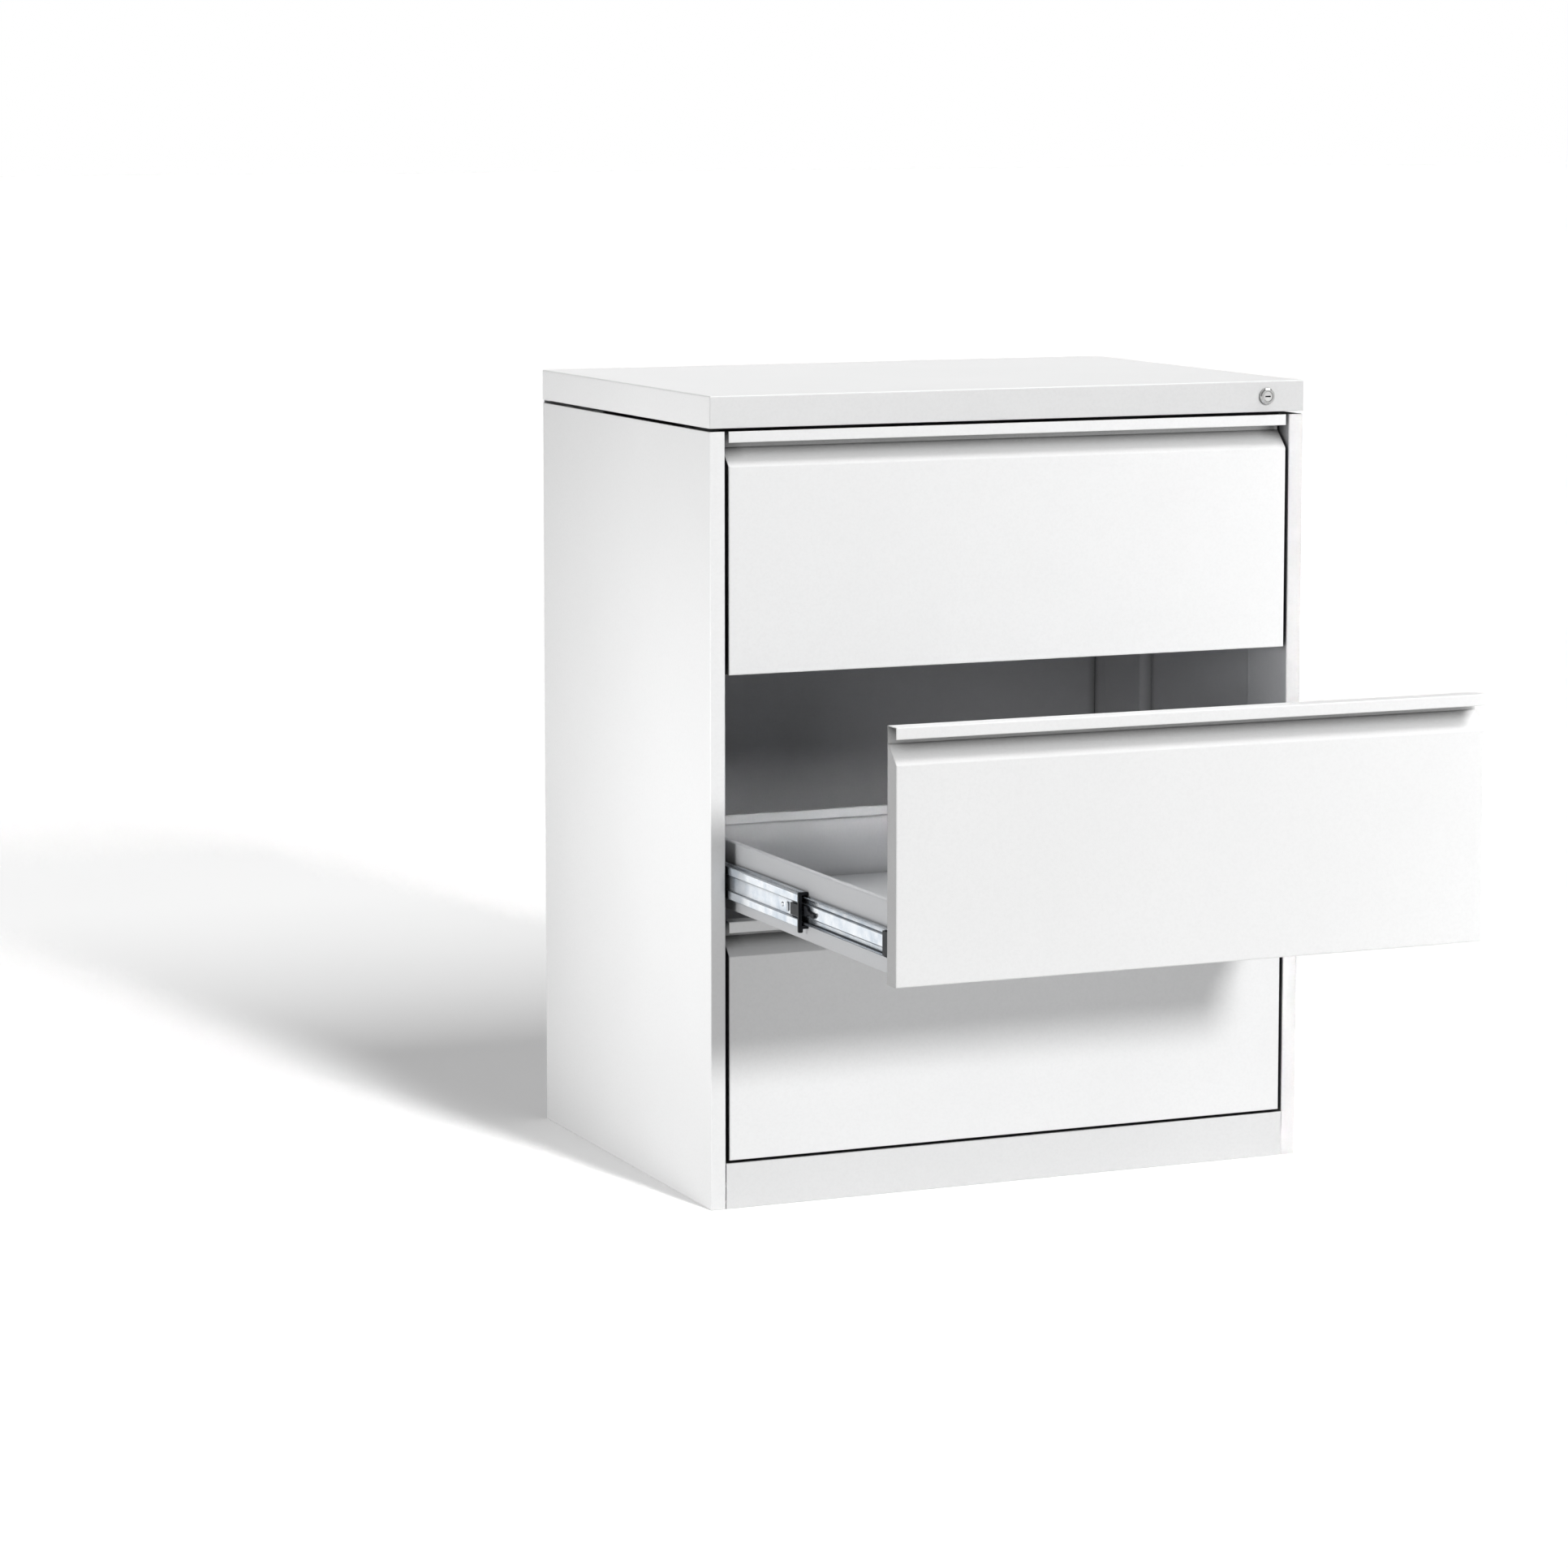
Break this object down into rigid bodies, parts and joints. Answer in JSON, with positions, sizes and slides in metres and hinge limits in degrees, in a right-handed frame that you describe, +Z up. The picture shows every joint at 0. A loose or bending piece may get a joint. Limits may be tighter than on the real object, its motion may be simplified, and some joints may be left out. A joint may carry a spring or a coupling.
{
  "type": "filing cabinet",
  "caption": "Low, wide steel filing cabinet: drawers with full-width grips on ball-bearing slides, and a cam lock in the top cover.",
  "frame": {"origin": "centre of the carcass's footprint on the floor", "axes": "+Z up, -Y the way the drawers pull out, +X to the right of someone facing the drawers"},
  "size_m": [0.83, 1.09, 1.02],
  "materials": {
    "white_powder_coat": "fine-textured matt powder coat on sheet steel",
    "zinc_plated_steel": "bright zinc plate on rolled or pressed strip",
    "bright_steel": "bright pressed strip with polished balls",
    "black_plastic": "moulded plastic with a fine grain",
    "chrome_plate": "polished nickel or chrome plate on a die casting",
    "natural_plastic": "moulded plastic in its natural colour",
    "foot_plastic": "moulded plastic pad and stud"
  },
  "bodies": {
    "cabinet": {"side_panel_left": "white_powder_coat", "rear_upright_left": "white_powder_coat", "side_panel_right": "white_powder_coat", "rear_upright_right": "white_powder_coat", "back_panel": "white_powder_coat", "plinth": "white_powder_coat", "base_panel": "white_powder_coat", "front_top_rail": "white_powder_coat", "top_cover": "white_powder_coat", "lock_housing": "chrome_plate", "lock_bar_guides": "natural_plastic", "slide_cabinet_bottom_left": "zinc_plated_steel", "slide_cabinet_bottom_right": "zinc_plated_steel", "slide_cabinet_middle_left": "zinc_plated_steel", "slide_cabinet_middle_right": "zinc_plated_steel", "slide_cabinet_top_left": "zinc_plated_steel", "slide_cabinet_top_right": "zinc_plated_steel"},
    "drawer_bottom": {"drawer_front_bottom": "white_powder_coat", "drawer_liner_bottom": "white_powder_coat", "drawer_tray_bottom": "white_powder_coat", "lock_catch_bottom": "zinc_plated_steel", "slide_drawer_bottom_left": "zinc_plated_steel", "slide_drawer_bottom_right": "zinc_plated_steel", "slide_caps_bottom": "black_plastic"},
    "intermediate_slides_bottom": {"slide_intermediate_bottom_left": "zinc_plated_steel", "slide_intermediate_bottom_right": "zinc_plated_steel", "slide_stops_bottom": "black_plastic"},
    "outer_retainers_bottom": {"outer_retainers_bottom": "bright_steel"},
    "inner_retainers_bottom": {"inner_retainers_bottom": "bright_steel"},
    "drawer_middle": {"drawer_front_middle": "white_powder_coat", "drawer_liner_middle": "white_powder_coat", "drawer_tray_middle": "white_powder_coat", "lock_catch_middle": "zinc_plated_steel", "slide_drawer_middle_left": "zinc_plated_steel", "slide_drawer_middle_right": "zinc_plated_steel", "slide_caps_middle": "black_plastic"},
    "intermediate_slides_middle": {"slide_intermediate_middle_left": "zinc_plated_steel", "slide_intermediate_middle_right": "zinc_plated_steel", "slide_stops_middle": "black_plastic"},
    "outer_retainers_middle": {"outer_retainers_middle": "bright_steel"},
    "inner_retainers_middle": {"inner_retainers_middle": "bright_steel"},
    "drawer_top": {"drawer_front_top": "white_powder_coat", "drawer_liner_top": "white_powder_coat", "drawer_tray_top": "white_powder_coat", "lock_catch_top": "zinc_plated_steel", "slide_drawer_top_left": "zinc_plated_steel", "slide_drawer_top_right": "zinc_plated_steel", "slide_caps_top": "black_plastic"},
    "intermediate_slides_top": {"slide_intermediate_top_left": "zinc_plated_steel", "slide_intermediate_top_right": "zinc_plated_steel", "slide_stops_top": "black_plastic"},
    "outer_retainers_top": {"outer_retainers_top": "bright_steel"},
    "inner_retainers_top": {"inner_retainers_top": "bright_steel"},
    "lock_barrel": {"lock_barrel": "chrome_plate", "lock_cam": "zinc_plated_steel"},
    "lock_bar": {"lock_bar": "zinc_plated_steel"},
    "levelling_foot_1": {"levelling_foot_1": "foot_plastic"},
    "levelling_foot_2": {"levelling_foot_2": "foot_plastic"},
    "levelling_foot_3": {"levelling_foot_3": "foot_plastic"},
    "levelling_foot_4": {"levelling_foot_4": "foot_plastic"}
  },
  "joints": [
    {"name": "drawer_bottom_slide", "type": "slide", "parent": "cabinet", "child": "drawer_bottom", "axis": [0, -1, 0], "range_m": [0, 0.5]},
    {"name": "intermediate_bottom_slide", "type": "slide", "parent": "cabinet", "child": "intermediate_slides_bottom", "axis": [0, -1, 0], "range_m": [0, 0.25]},
    {"name": "outer_retainers_bottom_slide", "type": "slide", "parent": "cabinet", "child": "outer_retainers_bottom", "axis": [0, -1, 0], "range_m": [0, 0.125]},
    {"name": "inner_retainers_bottom_slide", "type": "slide", "parent": "cabinet", "child": "inner_retainers_bottom", "axis": [0, -1, 0], "range_m": [0, 0.375]},
    {"name": "drawer_middle_slide", "type": "slide", "parent": "cabinet", "child": "drawer_middle", "axis": [0, -1, 0], "range_m": [-0.5, 0]},
    {"name": "intermediate_middle_slide", "type": "slide", "parent": "cabinet", "child": "intermediate_slides_middle", "axis": [0, -1, 0], "range_m": [-0.25, 0]},
    {"name": "outer_retainers_middle_slide", "type": "slide", "parent": "cabinet", "child": "outer_retainers_middle", "axis": [0, -1, 0], "range_m": [-0.125, 0]},
    {"name": "inner_retainers_middle_slide", "type": "slide", "parent": "cabinet", "child": "inner_retainers_middle", "axis": [0, -1, 0], "range_m": [-0.375, 0]},
    {"name": "drawer_top_slide", "type": "slide", "parent": "cabinet", "child": "drawer_top", "axis": [0, -1, 0], "range_m": [0, 0.5]},
    {"name": "intermediate_top_slide", "type": "slide", "parent": "cabinet", "child": "intermediate_slides_top", "axis": [0, -1, 0], "range_m": [0, 0.25]},
    {"name": "outer_retainers_top_slide", "type": "slide", "parent": "cabinet", "child": "outer_retainers_top", "axis": [0, -1, 0], "range_m": [0, 0.125]},
    {"name": "inner_retainers_top_slide", "type": "slide", "parent": "cabinet", "child": "inner_retainers_top", "axis": [0, -1, 0], "range_m": [0, 0.375]},
    {"name": "lock_turn", "type": "hinge", "parent": "cabinet", "child": "lock_barrel", "pos_m": [0.361, -0.295, 1], "axis": [0, 1, 0], "range_deg": [0, 90]},
    {"name": "lock_bar_slide", "type": "slide", "parent": "cabinet", "child": "lock_bar", "axis": [0, 0, -1], "range_m": [0, 0.0099]},
    {"name": "levelling_foot_1_height", "type": "slide", "parent": "cabinet", "child": "levelling_foot_1", "axis": [0, 0, -1], "range_m": [0, 0.012]},
    {"name": "levelling_foot_2_height", "type": "slide", "parent": "cabinet", "child": "levelling_foot_2", "axis": [0, 0, -1], "range_m": [0, 0.012]},
    {"name": "levelling_foot_3_height", "type": "slide", "parent": "cabinet", "child": "levelling_foot_3", "axis": [0, 0, -1], "range_m": [0, 0.012]},
    {"name": "levelling_foot_4_height", "type": "slide", "parent": "cabinet", "child": "levelling_foot_4", "axis": [0, 0, -1], "range_m": [0, 0.012]}
  ],
  "couplings": [
    {"joint": "intermediate_bottom_slide", "follows": "drawer_bottom_slide", "ratio": 0.5},
    {"joint": "outer_retainers_bottom_slide", "follows": "drawer_bottom_slide", "ratio": 0.25},
    {"joint": "inner_retainers_bottom_slide", "follows": "drawer_bottom_slide", "ratio": 0.75},
    {"joint": "intermediate_middle_slide", "follows": "drawer_middle_slide", "ratio": 0.5},
    {"joint": "outer_retainers_middle_slide", "follows": "drawer_middle_slide", "ratio": 0.25},
    {"joint": "inner_retainers_middle_slide", "follows": "drawer_middle_slide", "ratio": 0.75},
    {"joint": "intermediate_top_slide", "follows": "drawer_top_slide", "ratio": 0.5},
    {"joint": "outer_retainers_top_slide", "follows": "drawer_top_slide", "ratio": 0.25},
    {"joint": "inner_retainers_top_slide", "follows": "drawer_top_slide", "ratio": 0.75},
    {"joint": "lock_turn", "follows": "lock_bar_slide", "rad_per_m": 158.67}
  ]
}
